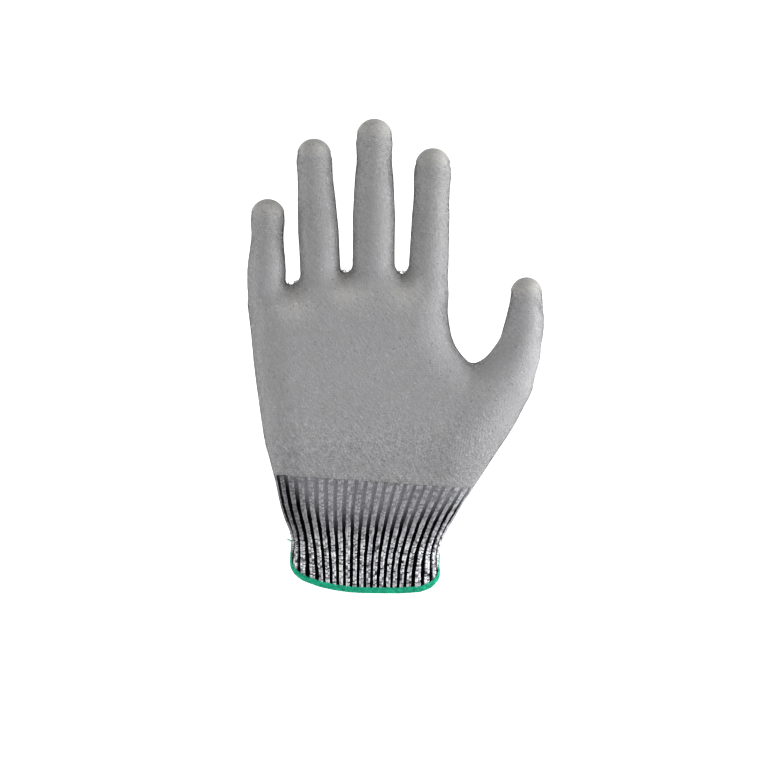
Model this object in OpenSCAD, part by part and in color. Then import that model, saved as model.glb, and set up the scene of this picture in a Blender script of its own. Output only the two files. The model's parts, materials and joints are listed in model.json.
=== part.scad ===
// Right-hand seamless knitted cut-resistant glove with a polyurethane palm coating.
// Millimetres. +Z runs from the hem to the fingertips, the coated palm faces -Y and
// the thumb is on the +X side. The origin is the centre of the hand opening, at hem level.
//
// Every finger tube is one knit tube and one coating film on the real glove. Both are
// divided here at the three creases of each finger, so that each length can move.

/* [Fabric] */
// Thickness of the knitted liner
liner_t = 1.2; // [0.9:0.1:1.5]
// Thickness of the polyurethane film
coat_t = 0.4; // [0.3:0.1:0.6]

/* [Palm] */
// Height of the wrist line, where the ribbed cuff meets the palm
wrist_z = 57; // [54:1:60]
// Front to back thickness of the palm
palm_depth = 28; // [26:0.5:29]
// Width of the palm across the knuckles
palm_w = 104; // [102:0.5:106]
// Width across the wrist line
wrist_w = 104; // [100:1:108]

/* [Cuff] */
// Width of the narrowest part of the cuff
cuff_w = 77; // [74:1:80]
// Width across the flared hem
hem_w = 81; // [79:1:84]
// Front to back thickness of the cuff
cuff_depth = 26; // [25:0.5:27]
// Height of the green overlocked band
hem_band_h = 3; // [2.5:0.5:3.5]
// How far the hem is drawn up at the two side folds
hem_rise = 20; // [10:1:22]
// Number of elastic rings laid into the cuff
elastic_rings = 8; // [4:1:9]

/* [Finger creases: base to middle, middle to end, end to tip] */
// Little finger lengths
little_len = [15, 13.5, 10.5];
// Ring finger lengths
ring_len = [18, 20.5, 24];
// Middle finger lengths
middle_len = [20, 24, 28.2];
// Index finger lengths
index_len = [17.5, 18.5, 21.5];
// Thumb lengths, base to crease and crease to tip
thumb_len = [28, 27.5];

/* [Motion, degrees] */
// Forward bend of a finger at its base
base_flex = 68; // [40:1:70]
// Backward bend of a finger at its base
base_ext = 15; // [0:1:20]
// Bend at the middle crease
mid_flex = 80; // [40:1:85]
// Bend at the end crease
end_flex = 40; // [20:1:45]
// Forward bend of the thumb at its base
thumb_flex = 50; // [30:1:55]
// Backward bend of the thumb at its base
thumb_ext = 15; // [0:1:20]
// Bend at the thumb's crease
thumb_end_flex = 60; // [30:1:65]
// Bend of the cuff at the wrist, each way
wrist_flex = 40; // [20:1:42]

/* [Hidden] */
$fn = 48;
hull_fn = 32;
clear = 0.05;       // room between two layers of fabric
gap = 0.3;          // half the room between two lengths at a crease
crease_y = -2.5;    // a finger folds nearer to its palm side than to its back
base_tilt = 3;      // forward lean of a whole finger
rest_curl = 6;      // forward bend already in a crease at rest
tip_steps = 10;
far = 90;           // longer than any cut has to be
wrap_y = -2;        // the coating stops this far in front of a finger's side
tip_wrap = 7;       // length of a fingertip that is coated all round
wrist_hinge_z = 42;
elastic_t = 0.5;
hem_wrap = 0.5;     // how far the overlock threads stand off the knit
coat_slope = 3.4;   // the coating's lower edge drops towards the thumb

// [name, hinge x, hinge z, sideways lean, lengths, radius at base, at end crease, at tip]
FINGERS = [
    ["little", -51.2, 165.5, 1, little_len, 9.9, 8.5, 9.0],
    ["ring", -23.6, 173.5, -2.8, ring_len, 10.4, 9.4, 9.2],
    ["middle", 4.4, 174, 0.6, middle_len, 10.8, 9.7, 9.3],
    ["index", 32.7, 173.5, 2.5, index_len, 10.1, 9.6, 9.6],
];
LITTLE = 0;
RING = 1;
MIDDLE = 2;
INDEX = 3;

// ---- Frames along a digit ---------------------------------------------------------

// Forward tilt of a finger's length 0, 1 or 2
function tilt(k) = base_tilt + k * rest_curl;

// Direction of a length with this sideways lean and forward tilt
function along(lean, t) = [sin(lean) * cos(t), -sin(t), cos(lean) * cos(t)];

// Crease k of a finger: 0 at its base, 1 in the middle, 2 at the end
function crease(f, k) =
    k == 0 ? [f[1], crease_y, f[2]]
           : crease(f, k - 1) + f[4][k - 1] * along(f[3], tilt(k - 1));

thumb_lean = [23, 3];
thumb_tilt = [5, 11];
thumb_r = [13.4, 10.5, 8.8];
thumb_root = [70.4, crease_y, 108];          // centre of the thumb tube where it leaves the palm
thumb_knuckle = thumb_root + thumb_len[0] * along(thumb_lean[0], thumb_tilt[0]);
thumb_axis_lean = 35;                         // the base of the thumb folds on a slanted line
thumb_crease = [61.8, crease_y, 125.6];       // a point on that line
knuckle_lean = 12;

// Children are placed at a crease, +Z pointing along the length beyond it
module at_crease(p, lean, t) {
    translate(p) rotate([0, lean, 0]) rotate([t, 0, 0]) children();
}

// Everything beyond a crease at the origin. front and back are the two bend ranges.
module beyond(front, back) {
    rise_front = far * tan(front / 2 + 0.5);
    rise_back = far * tan(back / 2 + 0.5);
    rotate([90, 0, 90])
        linear_extrude(height = 2 * far, center = true)
            polygon([
                [0, gap],
                [far, gap + rise_back],
                [far, gap + rise_back + 2 * far],
                [-far, gap + rise_front + 2 * far],
                [-far, gap + rise_front],
            ]);
}

// Everything before a crease at the origin
module before(front, back) {
    mirror([0, 0, 1]) beyond(front, back);
}

// A round tube along +Z, from radius ra at za to rb at zb, behind the crease line
module tube(za, zb, ra, rb, wall) {
    translate([0, -crease_y, 0])
        rotate_extrude()
            polygon([[ra - wall, za], [ra, za], [rb, zb], [rb - wall, zb]]);
}

function tip_arc(r, top, out) =
    [for (i = [0 : tip_steps])
        let (a = 90 * i / tip_steps) [(r + out) * cos(a), top - r + (r + out) * sin(a)]];

// A fingertip: a tube that closes in a round end. top is the end of the solid core's axis.
module tip_shell(ra, r, top, wall, grow) {
    translate([0, -crease_y, 0])
        rotate_extrude()
            difference() {
                polygon(concat([[0, 0], [ra + grow, 0]], tip_arc(r, top, grow)));
                polygon(concat([[0, -1], [ra + grow - wall, -1], [ra + grow - wall, 0]],
                               tip_arc(r, top, grow - wall)));
            }
}

// The side of a digit that the coating covers
module coated_side() {
    translate([-far, -2 * far - crease_y + wrap_y, -far]) cube([2 * far, 2 * far, 2 * far]);
}

// ---- Finger lengths ---------------------------------------------------------------

function radius_at(f, k) = k == 0 ? f[5] : k == 1 ? (f[5] + f[6]) / 2 : f[6];
function flex_at(k) = k == 0 ? base_flex : k == 1 ? mid_flex + rest_curl : end_flex + rest_curl;
function ext_at(k) = k == 0 ? base_ext : 0;

// Wall of finger length k, grown outwards from the liner's outside
module finger_wall(f, k, wall, grow) {
    if (k == 2)
        tip_shell(f[6], f[7], f[4][2], wall, grow);
    else
        tube(0, f[4][k], radius_at(f, k) + grow, radius_at(f, k + 1) + grow, wall);
}

module finger_length(f, k, wall, grow) {
    at_crease(crease(f, k), f[3], tilt(k))
        intersection() {
            finger_wall(f, k, wall, grow);
            beyond(flex_at(k), ext_at(k));
            if (k < 2)
                translate([0, 0, f[4][k]]) before(flex_at(k + 1), ext_at(k + 1));
        }
}

module finger_liner(f, k) {
    color("lightgray") finger_length(f, k, liner_t, 0);
}

module finger_coating(f, k) {
    color("darkgray")
        intersection() {
            finger_length(f, k, coat_t, clear + coat_t);
            at_crease(crease(f, k), f[3], tilt(k))
                union() {
                    coated_side();
                    if (k == 2)
                        translate([-far, -far, f[4][2] - tip_wrap]) cube(2 * far);
                }
        }
}

// ---- Thumb ------------------------------------------------------------------------

module thumb_base_length(wall, grow) {
    intersection() {
        at_crease(thumb_root, thumb_lean[0], thumb_tilt[0])
            tube(-10, thumb_len[0] + 4, thumb_r[0] + grow, thumb_r[1] + grow, wall);
        at_crease(thumb_crease, thumb_axis_lean, 0) beyond(thumb_flex, thumb_ext);
        at_crease(thumb_knuckle, knuckle_lean, thumb_tilt[0]) before(thumb_end_flex + rest_curl, 0);
    }
}

module thumb_tip_length(wall, grow) {
    intersection() {
        at_crease(thumb_knuckle, thumb_lean[1], thumb_tilt[1])
            translate([0, 0, -4])
                tip_shell(thumb_r[1], thumb_r[2], thumb_len[1] + 4, wall, grow);
        at_crease(thumb_knuckle, knuckle_lean, thumb_tilt[1]) beyond(thumb_end_flex + rest_curl, 0);
    }
}

module thumb_liner_base() {
    color("lightgray") thumb_base_length(liner_t, 0);
}

module thumb_liner_tip() {
    color("lightgray") thumb_tip_length(liner_t, 0);
}

module thumb_coating_base() {
    color("darkgray")
        intersection() {
            thumb_base_length(coat_t, clear + coat_t);
            at_crease(thumb_root, thumb_lean[0], thumb_tilt[0]) coated_side();
        }
}

module thumb_coating_tip() {
    color("darkgray")
        intersection() {
            thumb_tip_length(coat_t, clear + coat_t);
            at_crease(thumb_knuckle, thumb_lean[1], thumb_tilt[1])
                union() {
                    coated_side();
                    translate([-far, -far, thumb_len[1] - tip_wrap]) cube(2 * far);
                }
        }
}

// ---- Palm -------------------------------------------------------------------------

palm_r = palm_depth / 2;
cuff_r = cuff_depth / 2;
knuckle_r = 12.3;
palm_left = -61.3;                       // outer edge of the palm at the knuckles
palm_right = palm_left + palm_w;
wrist_left = -46.6;
wrist_right = wrist_left + wrist_w;

// Corners of the palm's hull: [x of the edge, side, z, half thickness]
PALM_EDGE = [
    [wrist_left, 1, wrist_z, cuff_r],
    [wrist_right, -1, wrist_z, cuff_r],
    [wrist_left - 5, 1, wrist_z + 20, palm_r],
    [wrist_right - 4, -1, wrist_z + 20, palm_r],
    [palm_left, 1, 138, palm_r],
    [palm_right, -1, 138, palm_r],
];

// The solid palm without its thumb side, grown by grow
module palm_form(grow) {
    hull() {
        for (e = PALM_EDGE)
            translate([e[0] + e[1] * e[3], 0, e[2]])
                rotate([0, 0, 180 / hull_fn])
                    cylinder(r = (e[3] + grow) / cos(180 / hull_fn), h = 0.5, $fn = hull_fn);
        for (p = [[palm_left + 12, 143.5], [0, 152.5], [palm_right - 12, 151]])
            translate([p[0], 0, p[1]]) sphere(r = knuckle_r + grow, $fn = hull_fn);
    }
}

// The ball of the thumb, from the wrist to the root of the thumb tube
module thumb_form(grow) {
    intersection() {
        union() {
            hull() {
                translate([wrist_right - cuff_r, 0, wrist_z])
                    cylinder(r = cuff_r + grow, h = 0.5, $fn = hull_fn);
                translate([20, 0, 112]) sphere(r = knuckle_r + grow, $fn = hull_fn);
                translate([69.6, 0, 109]) sphere(r = thumb_r[0] + grow, $fn = hull_fn);
            }
            at_crease(thumb_root, thumb_lean[0], thumb_tilt[0])
                translate([0, -crease_y, 0])
                    cylinder(r1 = thumb_r[0] + grow, r2 = thumb_r[0] - 1 + grow, h = 20);
        }
        at_crease(thumb_crease, thumb_axis_lean, 0) before(thumb_flex, thumb_ext);
    }
}

// Short roots of the four finger tubes, up to their base creases
module finger_roots(grow) {
    for (f = FINGERS)
        at_crease(crease(f, 0), f[3], tilt(0))
            intersection() {
                translate([0, -crease_y, -32]) cylinder(r = f[5] + grow, h = 32);
                before(flex_at(0), ext_at(0));
            }
}

module above_wrist(z, depth) {
    translate([-2 * far, -far, z]) cube([4 * far, far + depth, 3 * far]);
}

module palm_liner() {
    color("lightgray")
        difference() {
            union() {
                palm_form(0);
                thumb_form(0);
                finger_roots(0);
            }
            palm_form(-liner_t);
            thumb_form(-liner_t);
            // The bores reach past the roots' ends, so that the tubes stay open
            for (f = FINGERS)
                at_crease(crease(f, 0), f[3], tilt(0))
                    translate([0, -crease_y, -30]) cylinder(r = f[5] - liner_t, h = 40);
            at_crease(thumb_root, thumb_lean[0], thumb_tilt[0])
                translate([0, -crease_y, -4]) cylinder(r = thumb_r[0] - liner_t - 1, h = 40);
            translate([wrist_left + 3, -cuff_r + liner_t, wrist_z - 5])
                cube([wrist_w - 6, cuff_depth - 2 * liner_t, 8]);
        }
}

// The film starts above the slanted line where the dip ended
module palm_coating() {
    color("darkgray")
        difference() {
            intersection() {
                union() {
                    palm_form(clear + coat_t);
                    thumb_form(clear + coat_t);
                    finger_roots(clear + coat_t);
                }
                translate([0, 0, wrist_z + 1]) rotate([0, coat_slope, 0])
                    above_wrist(0.5, wrap_y);
            }
            palm_form(clear);
            thumb_form(clear);
            finger_roots(clear);
            for (f = FINGERS)
                at_crease(crease(f, 0), f[3], tilt(0))
                    translate([0, -crease_y, -30]) cylinder(r = f[5] + clear, h = 40);
            at_crease(thumb_root, thumb_lean[0], thumb_tilt[0])
                translate([0, -crease_y, -4]) cylinder(r = thumb_r[0] - 1, h = 40);
        }
}

// ---- Cuff -------------------------------------------------------------------------

cuff_waist_z = 25;
// Levels of the cuff: [z, left edge, right edge, half thickness]
CUFF_LEVELS = [
    [0, -hem_w / 2, hem_w / 2, cuff_r + 1],
    [cuff_waist_z, -cuff_w / 2, cuff_w / 2, cuff_r],
    [wrist_z - 2 * clear, wrist_left, wrist_right, cuff_r],
];

module cuff_level(level, grow) {
    for (side = [1, 2])
        translate([level[side] + (side == 1 ? 1 : -1) * level[3], 0, level[0]])
            cylinder(r = level[3] + grow, h = 0.01, $fn = hull_fn);
}

// The solid cuff, grown by grow
module cuff_form(grow) {
    for (i = [0, 1])
        hull() {
            cuff_level(CUFF_LEVELS[i], grow);
            cuff_level(CUFF_LEVELS[i + 1], grow);
        }
}

module cuff_wall() {
    difference() {
        cuff_form(0);
        cuff_form(-liner_t);
        translate([-hem_w / 2 + 3, -cuff_r + liner_t, -1])
            cube([hem_w - 6, cuff_depth - 2 * liner_t, 2]);
        translate([-cuff_w / 2 + 3, -cuff_r + liner_t, cuff_waist_z - 1])
            cube([cuff_w - 6, cuff_depth - 2 * liner_t, 2]);
        translate([wrist_left + 3, -cuff_r + liner_t, wrist_z - 2])
            cube([wrist_w - 6, cuff_depth - 2 * liner_t, 4]);
    }
}

// The hem and the courses near it are drawn up at the two side folds. This is the share
// of that rise at the depth y: none along the front and the back, all of it at the fold.
hem_inner_r = cuff_r - liner_t - hem_wrap;
function draw_up(y) = pow(max(0, 1 - pow(y / hem_inner_r, 2)), 1.3);

// A course of the knit seen from the side, at height z in front and z + rise at the folds
course_steps = 8;
function course(z, rise) =
    [for (i = [-course_steps : course_steps])
        let (y = hem_inner_r * sin(90 * i / course_steps)) [y, z + rise * draw_up(y)]];

// Everything above that course
module above_course(z, rise) {
    top = wrist_z + 20;
    rotate([90, 0, 90])
        linear_extrude(height = 2 * far, center = true)
            polygon(concat([[-far, z]], course(z, rise), [[far, z], [far, top], [-far, top]]));
}

// Everything above the hem's edge, moved inwards by inset
module above_hem(inset) {
    above_course(inset, hem_rise);
}

module wrist_rib_knit() {
    color("gray")
        intersection() {
            cuff_wall();
            translate([0, 0, wrist_hinge_z]) beyond(wrist_flex, wrist_flex);
        }
}

module cuff_rib_knit() {
    color("gray")
        intersection() {
            cuff_wall();
            translate([0, 0, wrist_hinge_z]) before(wrist_flex, wrist_flex);
            above_hem(hem_band_h);
        }
}

// The overlocked band closes the raw edge: its threads wrap the edge inside and out
module hem_overlock_band() {
    color("seagreen")
        difference() {
            intersection() {
                cuff_form(hem_wrap);
                above_hem(0);
            }
            above_hem(hem_band_h - clear);
            cuff_form(-liner_t - hem_wrap);
            translate([-hem_w / 2 + 4, -cuff_r + liner_t + hem_wrap, -1])
                cube([hem_w - 8, cuff_depth - 2 * (liner_t + hem_wrap), 2]);
        }
}

// A thread lying on the outside of the cuff, just above the band
module hem_needle_thread() {
    color("mediumseagreen")
        difference() {
            intersection() {
                cuff_form(clear + 0.35);
                above_hem(hem_band_h + 0.1);
            }
            above_hem(hem_band_h + 0.6);
            cuff_form(clear);
        }
}

// A loose end of the overlock thread, at the side fold on the little finger's side
tail_len = 3;
tail_r = 0.4;
tail_z = hem_rise + hem_band_h / 2;
tail_x = -hem_w / 2 + (hem_w - cuff_w) / 2 * tail_z / cuff_waist_z - hem_wrap - clear - tail_r;
module hem_thread_tail() {
    color("mediumseagreen")
        translate([tail_x, 0, tail_z])
            rotate([0, -75, 0])
                union() {
                    sphere(r = tail_r, $fn = 24);
                    cylinder(r = tail_r, h = tail_len, $fn = 24);
                    translate([0, 0, tail_len]) sphere(r = tail_r, $fn = 24);
                }
}

// The elastic yarn lies inside the knit, one ring to a course
elastic_low = 6;
elastic_high = 31;
elastic_top_rise = 2;
module cuff_elastic_yarn() {
    inset = liner_t + clear;
    color("dimgray")
        intersection() {
            difference() {
                cuff_form(-inset);
                cuff_form(-inset - elastic_t);
            }
            for (i = [0 : elastic_rings - 1]) {
                share = i / (elastic_rings - 1);
                z = elastic_low + (elastic_high - elastic_low) * share;
                rise = hem_rise + (elastic_top_rise - hem_rise) * share;
                difference() {
                    above_course(z, rise);
                    above_course(z + elastic_t, rise);
                }
            }
        }
}

palm_liner();
palm_coating();
wrist_rib_knit();
cuff_rib_knit();
cuff_elastic_yarn();
hem_overlock_band();
hem_needle_thread();
hem_thread_tail();
finger_liner(FINGERS[LITTLE], 0);  // little_liner_base
finger_liner(FINGERS[LITTLE], 1);  // little_liner_middle
finger_liner(FINGERS[LITTLE], 2);  // little_liner_tip
finger_coating(FINGERS[LITTLE], 0);  // little_coating_base
finger_coating(FINGERS[LITTLE], 1);  // little_coating_middle
finger_coating(FINGERS[LITTLE], 2);  // little_coating_tip
finger_liner(FINGERS[RING], 0);  // ring_liner_base
finger_liner(FINGERS[RING], 1);  // ring_liner_middle
finger_liner(FINGERS[RING], 2);  // ring_liner_tip
finger_coating(FINGERS[RING], 0);  // ring_coating_base
finger_coating(FINGERS[RING], 1);  // ring_coating_middle
finger_coating(FINGERS[RING], 2);  // ring_coating_tip
finger_liner(FINGERS[MIDDLE], 0);  // middle_liner_base
finger_liner(FINGERS[MIDDLE], 1);  // middle_liner_middle
finger_liner(FINGERS[MIDDLE], 2);  // middle_liner_tip
finger_coating(FINGERS[MIDDLE], 0);  // middle_coating_base
finger_coating(FINGERS[MIDDLE], 1);  // middle_coating_middle
finger_coating(FINGERS[MIDDLE], 2);  // middle_coating_tip
finger_liner(FINGERS[INDEX], 0);  // index_liner_base
finger_liner(FINGERS[INDEX], 1);  // index_liner_middle
finger_liner(FINGERS[INDEX], 2);  // index_liner_tip
finger_coating(FINGERS[INDEX], 0);  // index_coating_base
finger_coating(FINGERS[INDEX], 1);  // index_coating_middle
finger_coating(FINGERS[INDEX], 2);  // index_coating_tip
thumb_liner_base();
thumb_liner_tip();
thumb_coating_base();
thumb_coating_tip();
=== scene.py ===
"""Looks for the cut resistant glove: knitted liner, polyurethane film, ribbed cuff and hem."""

import json
import math

import bpy
import numpy as np
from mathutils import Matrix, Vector


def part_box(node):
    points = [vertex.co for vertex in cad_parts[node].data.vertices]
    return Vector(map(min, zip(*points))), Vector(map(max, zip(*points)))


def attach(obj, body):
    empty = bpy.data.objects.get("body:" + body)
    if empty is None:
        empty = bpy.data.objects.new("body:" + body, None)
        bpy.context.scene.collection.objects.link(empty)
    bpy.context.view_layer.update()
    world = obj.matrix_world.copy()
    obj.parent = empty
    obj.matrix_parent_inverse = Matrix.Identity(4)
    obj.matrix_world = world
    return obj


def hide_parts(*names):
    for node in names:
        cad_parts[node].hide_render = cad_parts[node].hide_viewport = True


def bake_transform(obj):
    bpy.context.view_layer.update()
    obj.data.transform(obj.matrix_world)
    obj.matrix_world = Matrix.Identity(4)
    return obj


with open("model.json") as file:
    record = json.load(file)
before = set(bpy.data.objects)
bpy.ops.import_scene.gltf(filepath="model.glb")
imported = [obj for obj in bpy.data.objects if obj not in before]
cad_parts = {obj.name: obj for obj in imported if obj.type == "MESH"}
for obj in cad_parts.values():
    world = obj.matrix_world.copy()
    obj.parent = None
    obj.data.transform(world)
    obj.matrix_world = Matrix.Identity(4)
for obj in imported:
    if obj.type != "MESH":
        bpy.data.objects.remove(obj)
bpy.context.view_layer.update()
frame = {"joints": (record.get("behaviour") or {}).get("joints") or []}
MM = 1000.0          # millimetres in a metre. Lengths are in mm up to the stage, where they are in metres
rng = np.random.default_rng(7)
JOINTS = {j["name"]: j for j in frame["joints"]}


def joint_pos(name):
    return np.array(JOINTS[name]["pos_m"], float) * MM


def cad_box(node):
    return [np.array(corner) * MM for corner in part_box(node)]


def unit(v):
    return v / np.linalg.norm(v)


def units(rows):
    return rows / np.maximum(np.linalg.norm(rows, axis=1), 1e-9)[:, None]


def smoothstep(a, b, x):
    t = np.clip((x - a) / (b - a), 0, 1)
    return t * t * (3 - 2 * t)


def run_length(points):
    """Distance along a line of points, from its first."""
    return np.concatenate([[0], np.cumsum(np.linalg.norm(np.diff(points, axis=0), axis=1))])


def relaxed(values, rounds):
    """Values smoothed along the first axis, with both ends kept."""
    out = values.copy()
    for _ in range(rounds):
        out[1:-1] = (out[:-2] + 2 * out[1:-1] + out[2:]) / 4
    return out


def slopes(field, p, reach):
    """Change of a field from -reach to +reach along x, y and z at the points p."""
    return np.column_stack([field(p + e) - field(p - e) for e in reach * np.eye(3)])


# ---- Smooth noise on points, the same on every run ----

CELL_PRIMES = (73856093, 19349663, 83492791)
MIX_PRIMES = (2246822519, 3266489917)
SEED_PRIME = 2654435761


def value_noise(p, scale, seed):
    """Trilinear value noise in -1..1 at points p (n, 3), one cell every scale mm."""
    q = np.asarray(p, float) / scale + 1000.0
    i = np.floor(q).astype(np.int64)
    f = q - i
    f = f * f * (3 - 2 * f)
    out = np.zeros(len(q))
    for corner in np.ndindex(2, 2, 2):
        x, y, z = ((i + corner) * CELL_PRIMES).T
        h = (x ^ y ^ z ^ (seed * SEED_PRIME)) & 0xFFFFFFFF
        h = ((h ^ (h >> 15)) * MIX_PRIMES[0]) & 0xFFFFFFFF
        h = ((h ^ (h >> 13)) * MIX_PRIMES[1]) & 0xFFFFFFFF
        r = ((h ^ (h >> 16)) & 0xFFFF) / 32767.5 - 1
        out += r * np.where(corner, f, 1 - f).prod(1)
    return out


# ---- Digits: an axis with radii, from the joints ----

AXIS_BACK = 2.5      # the hinge line lies this far in front of a tube's centre line
BEYOND = 40.0        # a finger's line runs straight this far past its first and last hinge
TIP_SHORT = 1.5      # the fingertips end this far below the CAD's
# Distance beyond the base hinge and radius, along each finger
PROFILES = {
    "little": [(-26, 6.0), (-16, 8.6), (-8, 9.9), (1, 10.1), (7.4, 9.6), (10.5, 9.1), (13.6, 8.85),
               (16.8, 8.45), (20, 8.4), (23, 8.6), (26, 8.9), (29, 8.7)],
    "ring": [(-30, 6), (-16, 9.6), (-7, 10.6), (0, 10.45), (15, 10.6), (18, 10.4), (24, 10.1), (30.5, 9.85),
             (36.8, 9.35), (40, 9.3), (43, 9.15), (46, 9.3), (49, 9.35), (51.8, 8.7)],
    "middle": [(-30, 6), (-14, 10.2), (-4, 11.1), (0, 10.9), (15, 10.95), (19, 11.1), (24, 10.9),
               (28.5, 10.65), (34, 10.4), (39.5, 10.1), (43, 9.8), (46, 9.35), (50, 9.15), (55, 9.35),
               (58, 9.55), (61.4, 9.1)],
    "index": [(-32, 6), (-22, 9.0), (-12, 10.2), (-5, 10.35), (0, 10.3), (9, 10.1), (15, 9.9), (21, 9.85),
              (25, 9.55), (29, 9.35), (36, 9.4), (40, 9.7), (43, 9.7), (46.3, 8.9)],
}
# Sideways drift from the straight line of the joints, at the base and at the tip
DRIFT = {"little": (0.0, 0.3), "ring": (0.1, -0.2), "middle": (0.1, -0.1), "index": (0.6, 0.5)}
# Centre of the thumb, measured from its knuckle, and radius
THUMB = [(-36.0, 2.6, -63, 12.6), (-24.5, 2.6, -44, 13.2), (-13.6, 2.5, -27.0, 13.4),
         (-7.5, 2.0, -19.5, 13.4), (-2.8, 1.1, -11.5, 12.3), (-0.8, 0.3, -5.0, 10.9),
         (0.5, -0.1, 0.5, 10.6), (1.7, -1.2, 7.5, 9.95), (2.2, -2.6, 15.5, 8.7), (2.3, -3.7, 21.4, 8.0)]
FINGERS = list(PROFILES)


class Digit:
    """A bent tube: points along its centre line, their radii and the distance along it."""

    def __init__(self, points, radii, start):
        self.p = points
        self.r = radii
        self.s = start + run_length(points)
        self.top = points[-1, 2] + radii[-1]

    def aside(self, q):
        """Sideways distance of points q from the centre line at their height."""
        return np.abs(q[:, 0] - np.interp(q[:, 2], self.p[:, 2], self.p[:, 0]))

    def nearest(self, q):
        """For points q: (distance to the tube's skin, distance along, foot point, radius there)."""
        best = np.full(len(q), 1e9)
        along, radius = np.zeros(len(q)), np.zeros(len(q))
        foot = np.zeros((len(q), 3))
        for i in range(len(self.p) - 1):
            a, d = self.p[i], self.p[i + 1] - self.p[i]
            t = np.clip((q - a) @ d / (d @ d), 0, 1)
            f = a + t[:, None] * d
            r = self.r[i] + t * (self.r[i + 1] - self.r[i])
            dist = np.linalg.norm(q - f, axis=1) - r
            m = dist < best
            best[m] = dist[m]
            along[m] = (self.s[i] + t * (self.s[i + 1] - self.s[i]))[m]
            radius[m], foot[m] = r[m], f[m]
        return best, along, foot, radius


def finger_hinges(name):
    return [joint_pos(f"{name}_{k}_bend") for k in ("base", "middle", "tip")]


def finger_digit(name):
    """Tube of a finger from its three joints and its tip's CAD box."""
    j = finger_hinges(name)
    first, second = j[1] - j[0], j[2] - j[1]
    d0 = unit(first)
    d2 = unit(unit(second) + (unit(second) - d0))
    knots = np.array([j[0] - BEYOND * d0, *j, j[2] + BEYOND * d2]) + np.array([0, AXIS_BACK, 0])
    reach = np.cumsum([-BEYOND, BEYOND, np.linalg.norm(first), np.linalg.norm(second), BEYOND])
    s, r = np.array(PROFILES[name], float).T
    fine = np.arange(s[0], s[-1] + 0.01, (s[-1] - s[0]) / 26)
    line = relaxed(np.column_stack([np.interp(fine, reach, knots[:, k]) for k in range(3)]), 3)
    share = smoothstep(0, s[-1], fine)
    near, far_end = DRIFT[name]
    line[:, 0] += near + (far_end - near) * share
    top = cad_box(f"{name}_coating_tip")[1][2] - TIP_SHORT
    line[:, 2] += (top - (line[-1, 2] + r[-1])) * share
    return Digit(line, np.interp(fine, s, r), fine[0])


def resample(knots, n):
    """Catmull-Rom through the knots, n samples a span, so that the tube bends smoothly."""
    ext = np.vstack([2 * knots[0] - knots[1], knots, 2 * knots[-1] - knots[-2]])
    out = []
    for i in range(len(knots) - 1):
        a, b, c, d = ext[i:i + 4]
        for t in np.linspace(0, 1, n, endpoint=False):
            out.append(0.5 * (2 * b + (c - a) * t + (2 * a - 5 * b + 4 * c - d) * t * t
                              + (3 * b - a - 3 * c + d) * t ** 3))
    return np.array(out + [knots[-1]])


def thumb_digit():
    """Tube of the thumb, from its knuckle joint."""
    k = joint_pos("thumb_tip_bend") + np.array([0, AXIS_BACK, 0])
    rows = resample(np.array(THUMB) + np.append(k, 0), 4)
    digit = Digit(rows[:, :3], rows[:, 3], 0)
    digit.s -= digit.s[np.argmin(np.linalg.norm(digit.p - k, axis=1))]
    return digit


DIGITS = {name: finger_digit(name) for name in FINGERS}
DIGITS["thumb"] = thumb_digit()

# ---- Palm and cuff body: an inflated outline ----

palm_left = cad_box("palm_liner")[0][0]
LEFT_FOLD = palm_left + 0.34
# Height and x of the two edges: the left measured from LEFT_FOLD, the right from the frame's origin
LEFT = np.array([
    (-30, 22.2), (0, 22.0), (8, 22.0), (14, 22.2), (20, 23.0), (26.3, 24.0), (32.5, 22.2), (38.7, 19.5),
    (45, 17.3), (51.2, 15.9), (57.5, 14.6), (63.7, 13.0), (70, 11.4), (76, 9.6), (82.4, 8.4), (95, 6.6),
    (107, 4.9), (120, 3.3), (126, 2.8), (132, 2.2), (139, 1.7), (145, 1.4), (150, 1.2)]) + [0, LEFT_FOLD]
RIGHT = np.array([
    (-30, 38.9), (0, 38.9), (8, 38.9), (14, 38.2), (20, 38.0), (26.3, 39.3), (32.5, 42.4), (38.7, 46.4),
    (45, 50.2), (51.2, 54.5), (57.5, 58.6), (63.7, 62.6), (70, 66.7), (76, 70.7), (82.4, 75.0), (88.7, 78.8),
    (95, 81.9), (101, 84.9), (106, 86.2), (109.8, 85.0), (113.5, 76.0), (115.8, 66.5), (117.0, 60.5),
    (118.0, 57.0), (120.0, 53.4), (124, 49.7), (128, 47.0), (133, 45.0), (140, 43.7), (147, 43.0)])
# x and height along the finger roots, from the index to the little finger
TOP = [(43.2, 155.0), (42.0, 160), (38.0, 163.5), (33.0, 165), (27, 168.5), (23.0, 167.6), (20.9, 165.8),
       (19.3, 165.0), (17.6, 166.0), (15.0, 168), (10, 169), (4.0, 169), (-2, 168.5), (-6, 167.3),
       (-8.3, 166.4), (-13.0, 165.6), (-17, 166), (-24, 165.5), (-31, 163.8), (-34.5, 161.9),
       (-37.4, 160.0), (-41.0, 159.4), (-44, 159.4), (-51, 158.5), (-57, 155.2)]


def polygon_distance(x, z, poly):
    """Signed distance in the plane, negative inside."""
    d = np.full(x.shape, 1e9)
    inside = np.zeros(x.shape, bool)
    for a, b in zip(poly, np.roll(poly, -1, axis=0)):
        e = b - a
        px, pz = x - a[0], z - a[1]
        t = np.clip((px * e[0] + pz * e[1]) / (e @ e), 0, 1)
        d = np.minimum(d, (px - t * e[0]) ** 2 + (pz - t * e[1]) ** 2)
        with np.errstate(divide="ignore", invalid="ignore"):
            cross = a[0] + (z - a[1]) * e[0] / e[1]
        inside ^= ((a[1] > z) != (b[1] > z)) & (x < cross)
    return np.where(inside, -1, 1) * np.sqrt(d)


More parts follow.
